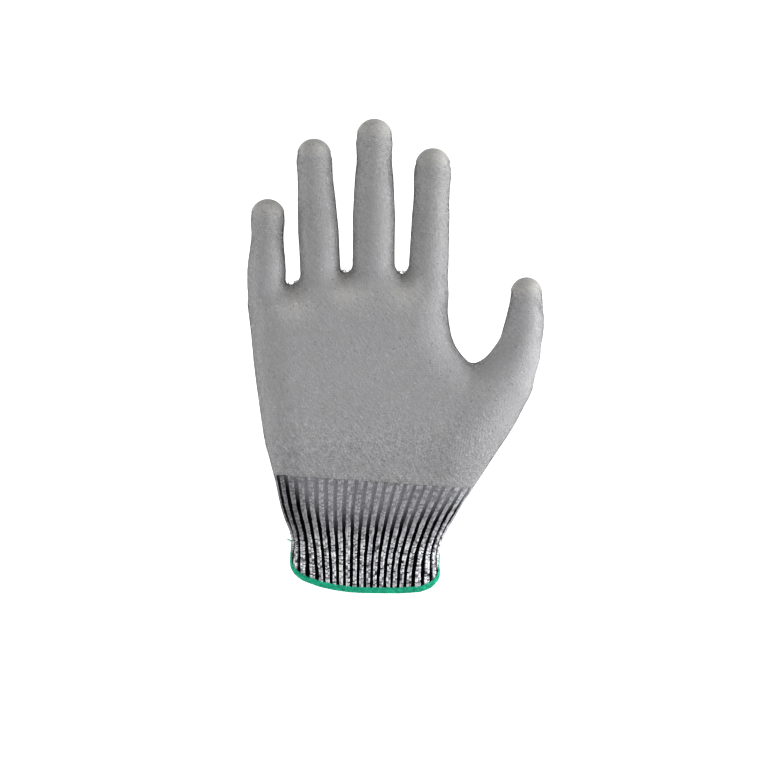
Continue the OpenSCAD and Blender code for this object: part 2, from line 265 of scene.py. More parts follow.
FLAT_STEP = 0.5
FLAT_X = np.arange(-80, 110, FLAT_STEP)
FLAT_Z = np.arange(-24, 180, FLAT_STEP)
FLAT = polygon_distance(*np.meshgrid(FLAT_X, FLAT_Z, indexing="ij"),
                        np.vstack([LEFT[::-1, ::-1], RIGHT[:, ::-1], TOP]))
for _ in range(4):      # rounds the creases that the polygon's corners leave
    FLAT[1:-1, 1:-1] = (FLAT[:-2, 1:-1] + FLAT[2:, 1:-1] + FLAT[1:-1, :-2] + FLAT[1:-1, 2:]
                        + 4 * FLAT[1:-1, 1:-1]) / 8


def flat_distance(x, z):
    """Signed distance from the outline, looked up in the grid."""
    i = np.clip((x - FLAT_X[0]) / FLAT_STEP, 0, len(FLAT_X) - 1.001)
    k = np.clip((z - FLAT_Z[0]) / FLAT_STEP, 0, len(FLAT_Z) - 1.001)
    i0, k0 = i.astype(int), k.astype(int)
    i, k = i - i0, k - k0
    return ((1 - i) * ((1 - k) * FLAT[i0, k0] + k * FLAT[i0, k0 + 1])
            + i * ((1 - k) * FLAT[i0 + 1, k0] + k * FLAT[i0 + 1, k0 + 1]))


def half_depth(z):
    return np.interp(z, [0, 25, 60, 85, 125, 145, 160, 175], [13.6, 12.6, 12.8, 13.6, 13.4, 12.4, 11.0, 10.0])


def rounding(z):
    """Width of the rounded margin beside the outline: wide on the palm, narrow at the cuff."""
    return np.interp(z, [0, 45, 75, 140, 158, 170], [13.2, 13.2, 19.0, 20.0, 12.0, 9.0])


def body_distance(p):
    r, w = half_depth(p[:, 2]), rounding(p[:, 2])
    q = np.maximum(flat_distance(p[:, 0], p[:, 2]) + w, 0) * r / w
    return np.hypot(q, p[:, 1]) - r


def smooth_min(a, b, k):
    h = np.maximum(k - np.abs(a - b), 0) / k
    return np.minimum(a, b) - h * h * k / 4


FINGER_LOW = 128.0       # no finger's tube starts below this height


def near_finger(p, name, reach):
    """Which points are high enough and within reach sideways of a finger."""
    return (p[:, 2] > FINGER_LOW) & (np.abs(p[:, 0] - DIGITS[name].p[:, 0].mean()) < reach)


def glove_distance(p):
    """Signed distance from the liner's outside."""
    thumb = np.full(len(p), 1e3)
    m = (p[:, 0] > 30) & (p[:, 2] > 36)      # the thumb's corner of the glove
    if m.any():
        thumb[m] = DIGITS["thumb"].nearest(p[m])[0]
    d = smooth_min(body_distance(p), thumb, 6.0)
    fingers = np.full(len(p), 1e3)
    for name in FINGERS:
        m = near_finger(p, name, 19)
        if m.any():
            fingers[m] = np.minimum(fingers[m], DIGITS[name].nearest(p[m])[0])
    return smooth_min(d, fingers, 3.6)


def normals_at(p):
    return units(slopes(glove_distance, p, 0.25))


def to_surface(p, rounds):
    for _ in range(rounds):
        p = p - normals_at(p) * glove_distance(p)[:, None]
    return p


# ---- Surface nets ----

def surface_nets(lo, hi, step):
    """Quad mesh of glove_distance = 0 inside the box."""
    axes = [np.arange(a, b + step, step) for a, b in zip(lo, hi)]
    shape = [len(a) for a in axes]
    field = np.empty(shape)
    slab = 24            # layers worked out at a time, to save memory
    for k in range(0, shape[2], slab):
        grid = np.stack(np.meshgrid(axes[0], axes[1], axes[2][k:k + slab], indexing="ij"), -1)
        field[:, :, k:k + slab] = glove_distance(grid.reshape(-1, 3)).reshape(grid.shape[:3])
    neg = field < 0
    corners = list(np.ndindex(2, 2, 2))
    count = np.zeros([n - 1 for n in shape], np.int8)
    for corner in corners:
        count += neg[tuple(slice(c, c + n) for c, n in zip(corner, count.shape))]
    cells = np.argwhere((count > 0) & (count < 8))
    total, hits = np.zeros((len(cells), 3)), np.zeros(len(cells))
    for corner in corners:
        for axis in range(3):
            if corner[axis]:
                continue
            end = list(corner)
            end[axis] = 1
            va, vb = field[tuple((cells + corner).T)], field[tuple((cells + end).T)]
            m = (va < 0) != (vb < 0)
            pos = np.tile(np.array(corner, float), (m.sum(), 1))
            pos[:, axis] = va[m] / (va[m] - vb[m])
            total[m] += pos
            hits[m] += 1
    verts = (cells + total / hits[:, None]) * step + np.array([a[0] for a in axes])
    index = -np.ones(shape, int)
    index[tuple(cells.T)] = np.arange(len(cells))
    quads = []
    for axis in range(3):
        below, above = [slice(1, -1)] * 3, [slice(1, -1)] * 3
        below[axis], above[axis] = slice(0, -1), slice(1, None)
        a, b = neg[tuple(below)], neg[tuple(above)]
        edges = np.argwhere(a != b)
        flip = a[tuple(edges.T)]
        base = edges + 1
        base[:, axis] -= 1
        ring = []
        for du, dv in ((0, 0), (-1, 0), (-1, -1), (0, -1)):
            q = base.copy()
            q[:, (axis + 1) % 3] += du
            q[:, (axis + 2) % 3] += dv
            ring.append(index[tuple(q.T)])
        quad = np.column_stack(ring)
        quad[~flip] = quad[~flip][:, ::-1]
        quads.append(quad[(quad >= 0).all(1)])
    return verts, np.vstack(quads)


STEP = 0.8
HAND_LOW = 50.0
box_lo = np.array([palm_left - 5, -26.0, HAND_LOW])
box_hi = np.array([cad_box("thumb_coating_tip")[1][0] + 5, 19.0, cad_box("middle_coating_tip")[1][2] + 4])
verts, quads = surface_nets(box_lo, box_hi, STEP)
verts = to_surface(verts, 3)

# ---- Which digit each vertex belongs to ----

# Half the length of the blend at each hinge
BLEND_HALF = {"little": (7.5, 7.5, 5.5), "ring": (8, 8, 6.5), "middle": (8, 8, 7), "index": (8, 8, 6.5)}
THUMB_HALF = (8, 7.5)
knuckle = joint_pos("thumb_tip_bend")
thumb_hinge = joint_pos("thumb_base_bend")
thumb_up = unit(np.cross(np.array(JOINTS["thumb_base_bend"]["axis"], float), [0, 1, 0]))
thumb_up = thumb_up * np.sign(thumb_up[2])


def finger_frame(name):
    """A finger's hinges and the direction that the finger runs through each of them."""
    j = finger_hinges(name)
    first, second = unit(j[1] - j[0]), unit(j[2] - j[1])
    return j, [unit(d) for d in (first, first + second, second)]


def digit_numbers(p):
    """0 on the palm, 1 to 4 on the fingers, 5 on the thumb."""
    out = np.zeros(len(p), int)
    aside = [DIGITS[name].aside(p) for name in FINGERS]
    for i, name in enumerate(FINGERS):
        j, dirs = finger_frame(name)
        m = ((p - j[0]) @ dirs[0] > -BLEND_HALF[name][0]) & (aside[i] < 14.5)
        for other in aside[:i] + aside[i + 1:]:
            m &= aside[i] < other
        out[m] = i + 1
    start = thumb_hinge - THUMB_HALF[0] * thumb_up
    out[((p - start) @ thumb_up > 0) & (p[:, 0] > start[0] + 2.2)] = 5
    return out


# ---- Where the film is ----

TIP_WRAP = 7.0       # the film goes all round this length of each tip
FILM_SIDE = 3.8      # the film ends this far in front of a digit's centre line
EDGE_Z = 58.2        # height of the dip line at x = 0
EDGE_DROP = 0.07     # how fast the dip line falls towards the thumb
RIB_TOP = 62.5


def above_dip(p):
    """Height above the line that the glove was dipped to."""
    return p[:, 2] - (EDGE_Z - EDGE_DROP * p[:, 0])


def film_field(p):
    """Positive where the film covers the liner; its zero line is the film's edge."""
    waver = 0.45 * value_noise(p, 2.3, 3) + 0.35 * value_noise(p, 6.0, 4)
    centre_y = np.zeros(len(p))
    tip = np.full(len(p), -50.0)
    closest = np.full(len(p), 1e9)
    for name, dg in DIGITS.items():
        m = (dg.aside(p) < 16) & (p[:, 2] > dg.p[0, 2])
        if name == "thumb":
            m = (p[:, 0] > 52) & (p[:, 2] > 108)
        if not m.any():
            continue
        gap, s, foot, _ = dg.nearest(p[m])
        own = gap < closest[m]
        closest[m] = np.minimum(closest[m], gap)
        centre_y[m] = np.where(own, foot[:, 1] * smoothstep(-20, 5, s), centre_y[m])
        tip[m] = np.where(own, p[m, 2] - (dg.top - TIP_WRAP), tip[m])
    side = (centre_y - FILM_SIDE) - p[:, 1]
    front = np.minimum(side + waver, above_dip(p) + 0.5 * waver)
    return np.maximum(front, tip + waver)


def used_by(faces):
    out = np.zeros(len(verts), bool)
    out[faces.ravel()] = True
    return out


quad_cover = film_field(verts)[quads].mean(1) > 0
film_shared = used_by(quads[quad_cover]) & used_by(quads[~quad_cover])


def snapped(p):
    """Points moved along the surface on to the film's edge, so that it is a clean line."""
    reach = 0.2
    for _ in range(3):
        n = normals_at(p)
        g = slopes(film_field, p, reach) / (2 * reach)
        g -= (g * n).sum(1)[:, None] * n
        move = -g * (film_field(p) / np.maximum((g * g).sum(1), 0.25))[:, None]
        length = np.linalg.norm(move, axis=1)
        move *= np.minimum(1, 0.5 * STEP / np.maximum(length, 1e-9))[:, None]
        p = to_surface(p + move, 1)
    return p


verts[film_shared] = snapped(verts[film_shared])
vert_normals = normals_at(verts)
digit_id = digit_numbers(verts)

# ---- Knit coordinates: wales across, courses along ----

WALE, COURSE = 1.55, 1.15
FRONT, BACK = -1, 1
WALES_HALF, WALES_MIDDLE = 51.6, -8.6      # half width and middle of the palm that the wales are spaced for
FINGER_GIRTH_R = 10.2                      # radius that a digit's wales are spaced for

# Girth from the start of the rounded margin, round the fold to the other side, for a typical section
ARC_PHI = np.linspace(0, math.pi, 121)
arc_rate = np.hypot(19.5 * np.cos(ARC_PHI), 13.4 * np.sin(ARC_PHI)) * (ARC_PHI[1] - ARC_PHI[0])
ARC = np.concatenate([[0], np.cumsum((arc_rate[1:] + arc_rate[:-1]) / 2)])


def palm_wale(p, side):
    """Wale count on the palm by girth, counted from the front (side -1) or the back (side 1)."""
    left, outer = np.interp(p[:, 2], *LEFT.T), np.interp(p[:, 2], *RIGHT.T)
    fan_right = np.interp(p[:, 2], [57, 90, 120, 150], [52, 50, 46, 43])
    middle, half = (left + fan_right) / 2, (fan_right - left) / 2
    width = rounding(p[:, 2])
    from_left = 1 - (p[:, 0] - left) / width
    from_right = 1 - 0.84 * (outer - p[:, 0]) / width
    way = np.where(from_left > from_right, -1.0, 1.0)
    share = np.clip(np.maximum(from_left, from_right), 0, 1)
    phi = np.where(share > 0, np.arctan2(share * half_depth(p[:, 2]), side * p[:, 1]), 0)
    start = (p[:, 0] - way * width * share - middle) / half * WALES_HALF + WALES_MIDDLE
    return (start + way * np.interp(phi, ARC_PHI, ARC)) / WALE


def with_roots(p, ids):
    """Digit numbers, with the palm's points just below the fingers given to the nearest one."""
    out = ids.copy()
    m = np.flatnonzero((ids == 0) & (p[:, 2] > 138))
    out[m] = np.argmin([DIGITS[name].nearest(p[m])[0] for name in FINGERS], axis=0) + 1
    return out


def knit_uv(p, ids, side):
    """Wale and course counts for each point, counted from the front (side -1) or the back (side 1)."""
    u, v = palm_wale(p, side), p[:, 2] / COURSE
    ids = with_roots(p, ids)
    for i, (name, dg) in enumerate(DIGITS.items()):
        m = ids == i + 1
        _, along, foot, _ = dg.nearest(p[m])
        off = p[m] - foot
        turn = np.arctan2(off[:, 0], side * off[:, 1])
        if name == "thumb":
            w = smoothstep(-37, -21, along)
            root = [72.5, side * 13.0, 112.0]
            v[m] += 0.2 * off[:, 0] * w / COURSE
        else:
            w = smoothstep(-16, -5, along)
            x, _, z = (np.interp(-4, dg.s, dg.p[:, k]) for k in range(3))
            root = [x, side * 12.0, z]
        # the courses arch over the finger, and more near its tip
        v[m] += (0.009 + 0.05 * smoothstep(-30, -8, along - dg.s[-1])) * off[:, 0] ** 2 * w / COURSE
        u[m] = u[m] * (1 - w) + (palm_wale(np.array([root]), side)[0] + turn * FINGER_GIRTH_R / WALE) * w
    return u, v


# Crease across the outer side of the thumb, from its joint
CREASE = [knuckle + np.array([5.6, 0, 19.2]), knuckle + np.array([10.0, 0, 12.0])]
CREASE_WIDE, CREASE_DEEP = 1.1, 0.45


def crease_strength(p):
    """1 in the bottom of the thumb's crease, 0 away from it."""
    a, d = CREASE[0][[0, 2]], (CREASE[1] - CREASE[0])[[0, 2]]
    q = p[:, [0, 2]] - a
    t = q @ d / (d @ d)
    off = np.abs(q[:, 0] * d[1] - q[:, 1] * d[0]) / np.linalg.norm(d)
    return np.exp(-(off / CREASE_WIDE) ** 2) * smoothstep(-0.1, 0.35, t) * smoothstep(1.35, 1.0, t)


crease = crease_strength(verts)
verts -= vert_normals * (CREASE_DEEP * crease)[:, None]
film_wales, courses = knit_uv(verts, digit_id, FRONT)
liner_wales, _ = knit_uv(verts, digit_id, BACK)


# ---- Node materials ----

class Nodes:
    """Short names for building a node material. A value is a number, a colour or another node's output."""

    def __init__(self, name):
        self.mat = bpy.data.materials.new(name)
        self.mat.use_nodes = True
        self.tree = self.mat.node_tree
        self.tree.nodes.clear()
        self.bsdf = self.node("BsdfPrincipled")
        self.node("OutputMaterial", {0: self.bsdf.outputs[0]})

    def node(self, kind, inputs=None, **settings):
        """A new node with its inputs, by name or number, and its settings."""
        n = self.tree.nodes.new("ShaderNode" + kind)
        for key, value in settings.items():
            setattr(n, key, value)
        self.put(n, inputs or {})
        return n

    def put(self, n, inputs):
        for key, value in inputs.items():
            if isinstance(value, bpy.types.NodeSocket):
                self.tree.links.new(value, n.inputs[key])
            else:
                n.inputs[key].default_value = value

    def m(self, operation, a, b=0.0, c=0.0, clamp=False):
        return self.node("Math", {0: a, 1: b, 2: c}, operation=operation, use_clamp=clamp).outputs[0]

    def times(self, a, *others):
        for b in others:
            a = self.m("MULTIPLY", a, b)
        return a

    def minus(self, a, b):
        return self.m("SUBTRACT", a, b)

    def scaled(self, a, by, plus, clamp=False):
        return self.m("MULTIPLY_ADD", a, by, plus, clamp)

    def around_one(self, a, amount):
        """1 where a is 0.5, and off it by amount times the rest of a."""
        return self.scaled(self.minus(a, 0.5), amount, 1.0)

    def attr(self, name):
        return self.node("Attribute", attribute_name=name).outputs["Fac"]

    def xyz(self, x, y, z):
        return self.node("CombineXYZ", {0: x, 1: y, 2: z}).outputs[0]

    def place(self):
        return self.node("TexCoord").outputs["Object"]

    def noise(self, vector, scale, detail=2.0, rough=0.5):
        inputs = {"Vector": vector, "Scale": scale, "Detail": detail, "Roughness": rough}
        return self.node("TexNoise", inputs).outputs["Fac"]

    def steps(self, fac, stops):
        """Colour from a list of (start, colour), with no blending between them."""
        n = self.node("ValToRGB", {0: fac})
        n.color_ramp.interpolation = "CONSTANT"
        e = n.color_ramp.elements
        while len(e) < len(stops):
            e.new(0.5)
        for k, (start, colour) in enumerate(stops):
            e[k].position = start
            e[k].color = (*colour, 1)
        return n.outputs[0]

    def mix(self, fac, a, b, mode="MIX"):
        a, b = ((*v, 1) if isinstance(v, tuple) else v for v in (a, b))
        return self.node("Mix", {0: fac, 6: a, 7: b}, data_type="RGBA", blend_type=mode).outputs[2]

    def lit(self, colour, amount):
        """The colour times a number."""
        return self.mix(1.0, colour, self.xyz(amount, amount, amount), "MULTIPLY")

    def bumps(self, *layers):
        """Normal from layers of (height, distance in metres, strength), each laid over the one before."""
        last = {}
        for height, distance, strength in layers:
            inputs = {"Height": height, "Distance": distance, "Strength": strength}
            last = {"Normal": self.node("Bump", inputs | last).outputs[0]}
        return last["Normal"]

    def finish(self, colour, rough, specular, normal):
        self.put(self.bsdf, {"Base Color": colour, "Roughness": rough, "Specular IOR Level": specular,
                             "Normal": normal})
        return self.mat

    def stitches(self, per_wale=2.0):
        """Jersey V stitches from the wale and course attributes: height 0..1, a random number for each leg."""
        u = self.attr("wale")
        a = self.m("ABSOLUTE", self.minus(self.m("FRACT", u), 0.5))
        shifted = self.minus(self.attr("course"), self.times(a, 1.5))
        t = self.minus(self.times(self.m("FRACT", shifted), 2.0), 1.0)
        lengthwise = self.minus(1.0, self.m("POWER", self.m("ABSOLUTE", t), 3.0))
        c = self.m("DIVIDE", self.minus(a, 0.25), 0.25)
        across = self.m("SQRT", self.m("MAXIMUM", self.minus(1.0, self.times(c, c)), 0.0))
        height = self.times(across, self.scaled(lengthwise, 0.65, 0.35))
        leg = self.xyz(self.m("FLOOR", self.times(u, per_wale)), self.m("FLOOR", shifted), 0.5)
        return height, self.node("TexWhiteNoise", {"Vector": leg}, noise_dimensions="3D").outputs["Value"]


GREY_FILM = (0.170, 0.1705, 0.174)
PALE_FILM = (0.210, 0.2085, 0.200)
FORK_SHADE_BROWN = (0.105, 0.098, 0.09)
GRAZING_SHADE = (0.07, 0.068, 0.064)
YARN_DARK = (0.05, 0.045, 0.04)
CREASE_SHADE = (0.06, 0.058, 0.054)


def film_material():
    n = Nodes("pu_film")
    place, grainy = n.place(), n.attr("grainy")
    height, rand = n.stitches()
    grain = n.noise(place, 1500.0, 2.0, 0.6)
    lumps = n.noise(place, 880.0)
    # knit relief prints through the film in patches, and most near its edges and low on the palm
    patch = n.scaled(n.noise(place, 30.0), 1.6, -0.62, clamp=True)
    show = n.m("ADD", patch, n.attr("print"), clamp=True)
    # the film is thinner round the fingertips and shows the courses
    rings = n.times(n.m("SINE", n.times(n.attr("course"), 2 * math.pi)), n.attr("rings"))
    # fine slanting strokes in the surface
    x, y, z = n.node("SeparateXYZ", {0: place}).outputs
    along = n.times(n.scaled(x, 0.6, n.times(z, -0.8)), 0.28)
    across = n.scaled(x, 0.8, n.times(z, 0.6))
    ripple = n.minus(n.noise(n.xyz(across, along, y), 950.0, 1.0, 0.4), 0.5)
    pits = n.m("LESS_THAN", n.noise(place, 780.0, 0.0), 0.24)
    dots = n.m("GREATER_THAN", n.noise(place, 900.0, 0.0), 0.76)
    shade = n.times(n.around_one(n.noise(place, 48.0, 3.0, 0.55), 0.09),
                    n.around_one(grain, n.scaled(grainy, 1.35, 0.6)),
                    n.around_one(lumps, n.scaled(grainy, 0.12, 0.04)),
                    n.scaled(rings, 0.07, 1.0),
                    n.scaled(n.minus(height, 0.6), n.times(show, 0.5), 1.0),
                    n.scaled(ripple, n.scaled(grainy, 0.5, 0.34), 1.0),
                    n.scaled(pits, -0.3, 1.0))
    # painted highlight below the forks
    shade = n.times(n.scaled(dots, 0.3, shade), n.scaled(n.attr("pad_highlight"), 0.10, 1.0))
    colour = n.mix(n.attr("warm"), GREY_FILM, PALE_FILM)
    # painted shade at the forks and between the fingers, mixed with the liner's brown that shows through at
    # the forks
    colour = n.mix(n.times(n.attr("fork"), 0.62), colour, FORK_SHADE_BROWN)
    colour = n.lit(colour, shade)
    # painted shade where the film turns away from the eye
    facing = n.node("LayerWeight", {"Blend": 0.5}).outputs["Facing"]
    colour = n.mix(n.times(n.scaled(facing, 3.0, -2.0, clamp=True), 0.28), colour, GRAZING_SHADE)
    # liner yarn showing as dark pin holes beside the film's edge
    thin = n.times(n.attr("edge"), n.m("GREATER_THAN", rand, 0.5))
    colour = n.mix(n.times(thin, 0.6), colour, YARN_DARK)
    # painted shade along the thumb's crease, over its dent
    colour = n.mix(n.times(n.attr("crease"), 0.32), colour, CREASE_SHADE)
    relief = n.m("ADD", n.times(height, show), n.times(rings, 0.22))
    normal = n.bumps((relief, 0.0004, 0.9), (n.m("ADD", lumps, ripple), 0.0003, 0.5), (grain, 0.00022, 0.9))
    return n.finish(colour, n.scaled(grain, 0.3, 0.42), 0.38, normal)


# The share of the stitch legs at which each yarn colour starts
MELANGE = [(0.0, (0.014, 0.014, 0.014)), (0.12, (0.062, 0.061, 0.062)), (0.32, (0.125, 0.124, 0.127)),
           (0.60, (0.205, 0.205, 0.212)), (0.86, (0.34, 0.34, 0.355))]
BRIGHT_MELANGE = [(0.0, (0.03, 0.03, 0.032)), (0.07, (0.17, 0.17, 0.18)), (0.24, (0.43, 0.43, 0.465)),
                  (0.48, (0.70, 0.70, 0.745)), (0.72, (1.0, 1.0, 1.0))]


def liner_material():
    n = Nodes("melange_knit")
    height, rand = n.stitches()
    fuzz = n.noise(n.place(), 2600.0)
    lit = n.times(n.scaled(height, 0.8, 0.2), n.scaled(fuzz, 0.5, 0.75))
    return n.finish(n.lit(n.steps(rand, MELANGE), lit), n.scaled(fuzz, 0.15, 0.78), 0.2,
                    n.bumps((height, 0.0005, 0.9), (fuzz, 0.0001, 0.6)))


def rib_material():
    """Rib knit: bright mélange ribs of two wales with black painted shade in the grooves that fades near the
    palm.
    """
    n = Nodes("rib_knit")
    place, seam_dip, dull_and_shade = n.place(), n.attr("seam"), n.attr("dull")
    height, rand = n.stitches(1.0)
    fuzz = n.noise(place, 2600.0)
    lit = n.times(n.scaled(height, 1.16, 0.03), n.scaled(fuzz, 0.9, 0.55))
    rib = n.lit(n.steps(rand, BRIGHT_MELANGE), lit)
    # darker between a rib's two wales
    seam = n.scaled(seam_dip, -0.34, 1.0)
    rib = n.mix(1.0, rib, n.xyz(seam, seam, n.scaled(seam, 0.9, 0.1)), "MULTIPLY")
    # towards the film the ribs turn an even grey
    dull = n.m("MINIMUM", dull_and_shade, 1.0)
    wash = n.scaled(n.minus(lit, 0.5), 0.17, n.scaled(rand, 0.14, 0.085))
    # painted shade darkens the greyed ribs near the left fold, where dull goes past 1
    wash = n.times(wash, n.scaled(n.minus(dull_and_shade, dull), -1.3, 1.0))
    wash = n.scaled(seam_dip, -0.018, wash)
    washed = n.mix(n.times(dull, 0.92), rib, n.xyz(wash, wash, n.times(wash, 1.06)))
    speck = n.scaled(n.noise(place, 1500.0, 1.0), 1.5, 0.25)
    pit = n.xyz(*(n.times(speck, shade) for shade in (0.150, 0.150, 0.158)))
    # black painted shade in the grooves, giving way to the speckled grey as fade rises
    pit = n.mix(n.attr("fade"), (0.001, 0.001, 0.0012), pit)
    # the stitches make the grooves' sides uneven
    ragged = n.minus(n.noise(place, 1300.0, 1.0), 0.5)
    ragged = n.scaled(ragged, 1.1, n.minus(n.attr("groove"), 0.5))
    groove = n.scaled(ragged, 2.6, 0.5, clamp=True)
    return n.finish(n.mix(groove, washed, pit), n.scaled(fuzz, 0.15, 0.78), n.scaled(groove, -0.17, 0.18),
                    n.bumps((height, 0.0006, 0.9), (fuzz, 0.0001, 0.6)))


def thread_material(name, colour, dark):
    """Twisted thread with a slightly uneven colour."""
    n = Nodes(name)
    place = n.place()
    twist = n.node("TexWave", {"Vector": place, "Scale": 900.0, "Distortion": 2.5}, wave_type="BANDS",
                   bands_direction="DIAGONAL").outputs["Fac"]
    fuzz = n.noise(place, 2200.0)
    tone = n.scaled(n.noise(place, 650.0), 2.2, -0.5, clamp=True)
    return n.finish(n.mix(tone, dark, colour), n.scaled(fuzz, 0.2, 0.62), 0.15,
                    n.bumps((twist, 0.00008, 0.6), (fuzz, 0.00006, 0.5)))


FILM = film_material()
LINER = liner_material()
RIB = rib_material()
GREEN = thread_material("hem_thread", (0.009, 0.36, 0.207), (0.002, 0.13, 0.072))
FUZZ = thread_material("loose_fibre", (0.035, 0.028, 0.022), (0.012, 0.010, 0.009))
ELASTIC = thread_material("elastic_yarn", (0.03, 0.03, 0.033), (0.012, 0.012, 0.014))

# ---- Mesh objects ----

def make_object(name, v_mm, faces, material, attributes=None, normals=None):
    mesh = bpy.data.meshes.new(name)
    v = np.ascontiguousarray(v_mm, float) / MM
    faces = np.asarray(faces, int)
    mesh.vertices.add(len(v))
    mesh.vertices.foreach_set("co", v.astype(np.float32).ravel())
    mesh.loops.add(faces.size)
    mesh.loops.foreach_set("vertex_index", faces.ravel().astype(np.int32))
    mesh.polygons.add(len(faces))
    mesh.polygons.foreach_set("loop_start", np.arange(0, faces.size, faces.shape[1], dtype=np.int32))
    mesh.polygons.foreach_set("use_smooth", np.ones(len(faces), bool))
    mesh.update(calc_edges=True)
    for key, values in (attributes or {}).items():
        data = mesh.attributes.new(key, "FLOAT", "POINT").data
        data.foreach_set("value", np.ascontiguousarray(values, np.float32))
    if normals is not None:
        mesh.normals_split_custom_set_from_vertices([tuple(n) for n in normals])
    mesh.materials.append(material)
    obj = bpy.data.objects.new(name, mesh)
    bpy.context.scene.collection.objects.link(obj)
    return obj


def grid_faces(rows, cols):
    """Faces of a sheet of rows of points, each row a closed ring."""
    i = np.arange(rows - 1)[:, None] * cols
    k = np.arange(cols)[None, :]
    after = (k + 1) % cols
    return np.stack([i + k, i + after, i + cols + after, i + cols + k], -1).reshape(-1, 4)


def tube_mesh(path, radius, sides, up=(0.31, 0.17, 0.94)):
    """Tube round an open polyline, with open ends."""
    path = np.asarray(path, float)
    tangent = units(np.gradient(path, axis=0))
    side = units(np.cross(tangent, up))
    other = np.cross(side, tangent)
    r = np.broadcast_to(radius, (len(path),))
    a = np.linspace(0, 2 * math.pi, sides, endpoint=False)
    ring = side[:, None] * np.cos(a)[None, :, None] + other[:, None] * np.sin(a)[None, :, None]
    return (path[:, None] + ring * r[:, None, None]).reshape(-1, 3), grid_faces(len(path), sides)


def thread_object(name, parts, material):
    """One object from many meshes."""
    starts = np.cumsum([0] + [len(v) for v, _ in parts])
    faces = [f + start for (_, f), start in zip(parts, starts)]
    return make_object(name, np.vstack([v for v, _ in parts]), np.vstack(faces), material)


def dress(obj, slot_name, stands_for, bodies, start=None, end=None):
    """Puts a piece on one body, or with two bodies bakes its transform in place, and hides the CAD parts that
    it stands for.
    """
    if len(bodies) == 1:
        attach(obj, bodies[0])
    else:
        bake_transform(obj)
    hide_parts(*stands_for)


# ---- Hand pieces ----

LIFT = 0.32       # the film stands this far proud of the liner
RIM_DROP = 0.6    # share of the lift that the film's rim loses
SKIRT = 0.15      # the rim's foot goes this far into the liner
film_depth = film_field(verts)


def digit_marks():
    """For each vertex: how far it is in a tip, in the rings below a tip and in a finger's middle band of
    painted shade.
    """
    warm, rings, band = np.zeros((3, len(verts)))
    for i, (name, dg) in enumerate(DIGITS.items()):
        m = digit_id == i + 1
        z, top = verts[m, 2], dg.top
        warm[m] = smoothstep(top - 13, top - 4, z)
        rings[m] = smoothstep(top - 24, top - 15, z) * smoothstep(top - 5, top - 9, z)
        if name == "thumb":
            rings[m] *= 0.35
            continue
        _, along, foot, r = dg.nearest(verts[m])
        # painted shade down the middle of each finger's front
        band[m] = (smoothstep(0.8, 0.25, np.abs(verts[m, 0] - foot[:, 0]) / r)
                   * smoothstep(-4, 12, along) * smoothstep(top - 7, top - 18, z))
    return warm, rings, band


def beside_neighbour(p, n):
    """1 on a finger's side close to the next finger, 0 elsewhere: the reach of the painted shade between the
    fingers.
    """
    far = 40.0
    gaps = np.full((len(FINGERS), len(p)), far)
    for gap, name in zip(gaps, FINGERS):
        m = near_finger(p, name, 30)
        gap[m] = DIGITS[name].nearest(p[m])[0]
    second = np.minimum(np.sort(gaps, axis=0)[1], far)
    return smoothstep(11, 3, second) * smoothstep(0.55, 1.0, np.abs(n[:, 0])) * (p[:, 2] > 156)


# Forks between the fingers, then the thumb's: x, height and strength. Each gets painted shade mixed with liner
# brown, and a paler painted highlight below it
FORKS = [(-37.4, 159.5, 1.0), (-9.6, 165.8, 1.0), (19.4, 165.2, 1.0), (57.2, 118.0, 0.25)]


def film_look():
    """The film's attributes at each vertex."""
    x, z = verts[:, 0], verts[:, 2]
    warm, rings, band = digit_marks()
    palm_rings = 0.5 * np.exp(-(((x - 30) / 26) ** 2 + ((z - 108) / 14) ** 2))
    printed = np.maximum(0.85 * smoothstep(96, 62, z), 0.9 * smoothstep(4.5, 1.0, film_depth)) * (1 - warm)
    grainy = np.maximum(smoothstep(6.5, 1.5, film_depth), smoothstep(104, 70, z)) * (1 - 0.6 * warm)
    edge = smoothstep(2.2, 0.2, film_depth) * np.where(z < EDGE_Z + 6, 0.3, 1.0)
    # painted shade on finger sides beside a neighbour and down the fingers' middles
    fork = np.maximum(0.6 * beside_neighbour(verts, vert_normals), 0.2 * band)
    pad_highlight = np.zeros(len(verts))
    for fx, fz, amount in FORKS:
        r = np.hypot(x - fx, (z - fz) * 0.75)
        fork = np.maximum(fork, amount * np.exp(-(r / 5.5) ** 2))
        r = np.hypot((x - fx - 1) / 9, (z - fz + 12) / 6)
        pad_highlight = np.maximum(pad_highlight, amount * np.exp(-r ** 2))
    # the painted highlight below the forks also pales the colour, as the fingertips' paler film does
    return {"wale": film_wales, "course": courses, "print": printed, "warm": np.maximum(warm, 0.7 * pad_highlight),
            "edge": edge, "fork": fork, "pad_highlight": pad_highlight, "grainy": grainy,
            "rings": np.maximum(rings, palm_rings), "crease": crease}


FILM_LOOK = film_look()
LINER_LOOK = {"wale": liner_wales, "course": courses}


def piece_faces(mask):
    """The vertices that some faces use, and those faces renumbered."""
    used, inverse = np.unique(quads[mask], return_inverse=True)
    return used, inverse.reshape(-1, 4)


def boundary_edges(faces):
    """Directed boundary edges of a quad mesh."""
    e = np.vstack([faces[:, [k, (k + 1) % 4]] for k in range(4)])
    _, first, count = np.unique(np.sort(e, 1), axis=0, return_index=True, return_counts=True)
    return e[first[count == 1]]


